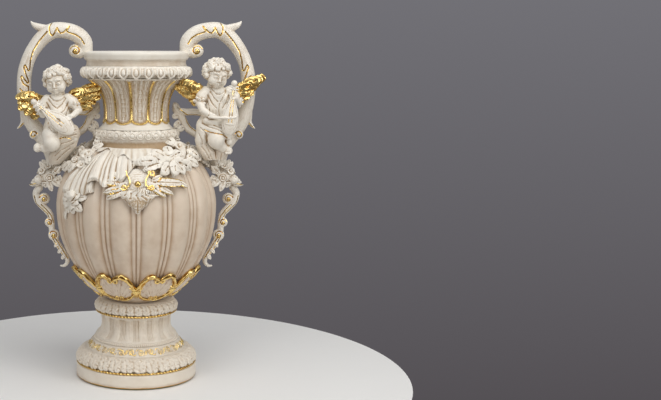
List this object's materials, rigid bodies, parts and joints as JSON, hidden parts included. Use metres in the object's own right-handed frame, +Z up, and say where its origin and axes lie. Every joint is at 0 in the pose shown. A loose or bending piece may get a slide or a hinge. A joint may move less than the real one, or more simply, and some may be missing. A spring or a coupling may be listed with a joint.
{
  "type": "amphora",
  "caption": "Tall footed ornamental vase with scroll handles carrying seated winged cherubs with lutes, a lobed ovoid body with applied swags and flowers, and an open flared mouth.",
  "frame": {"origin": "centre of the round face that the vase stands on, on the vessel's axis", "axes": "+Z up along the vessel's axis, -Y towards the face that the figures look out of, +X towards the right-hand handle seen from there"},
  "size_m": [0.5462, 0.3918, 0.7983],
  "materials": {
    "ivory_ceramic": "matte cast ivory with beige antiquing in the recesses",
    "gilding": "burnished gold leaf over ceramic",
    "steel": "zinc-plated",
    "rubber": "matte black",
    "felt": "dark green felt"
  },
  "bodies": {
    "root": {"body_gasket": "rubber", "body_shell": "ivory_ceramic", "bracket_left": "ivory_ceramic", "bracket_right": "ivory_ceramic", "calyx_gilt_frame": "gilding", "calyx_shells": "ivory_ceramic", "cartouche_back": "ivory_ceramic", "cartouche_front": "ivory_ceramic", "drape_back": "ivory_ceramic", "drape_front": "ivory_ceramic", "drape_rose_back": "ivory_ceramic", "drape_rose_front": "ivory_ceramic", "egg_ring": "ivory_ceramic", "felt_pad": "felt", "foot_leaf_torus": "ivory_ceramic", "foot_plinth": "ivory_ceramic", "foot_rope_band": "gilding", "foot_stem": "ivory_ceramic", "garland_back_left": "ivory_ceramic", "garland_back_right": "ivory_ceramic", "garland_front_left": "ivory_ceramic", "garland_front_right": "ivory_ceramic", "gilt_pearl_back": "gilding", "gilt_pearl_front": "gilding", "handle_flowers_left": "ivory_ceramic", "handle_flowers_right": "ivory_ceramic", "handle_left": "ivory_ceramic", "handle_right": "ivory_ceramic", "lip_ring": "ivory_ceramic", "lower_nut": "steel", "lower_washer": "steel", "lute_left": "ivory_ceramic", "lute_right": "ivory_ceramic", "neck": "ivory_ceramic", "neck_scroll_left": "ivory_ceramic", "neck_scroll_right": "ivory_ceramic", "putto_body_left": "ivory_ceramic", "putto_body_right": "ivory_ceramic", "putto_head_left": "ivory_ceramic", "putto_head_right": "ivory_ceramic", "shoulder_ring": "ivory_ceramic", "stem_collar": "ivory_ceramic", "stem_rope_band": "gilding", "tie_rod": "steel", "upper_nut": "steel", "upper_washer": "steel", "wing_left_inner": "gilding", "wing_left_outer": "gilding", "wing_right_inner": "gilding", "wing_right_outer": "gilding"}
  },
  "joints": []
}
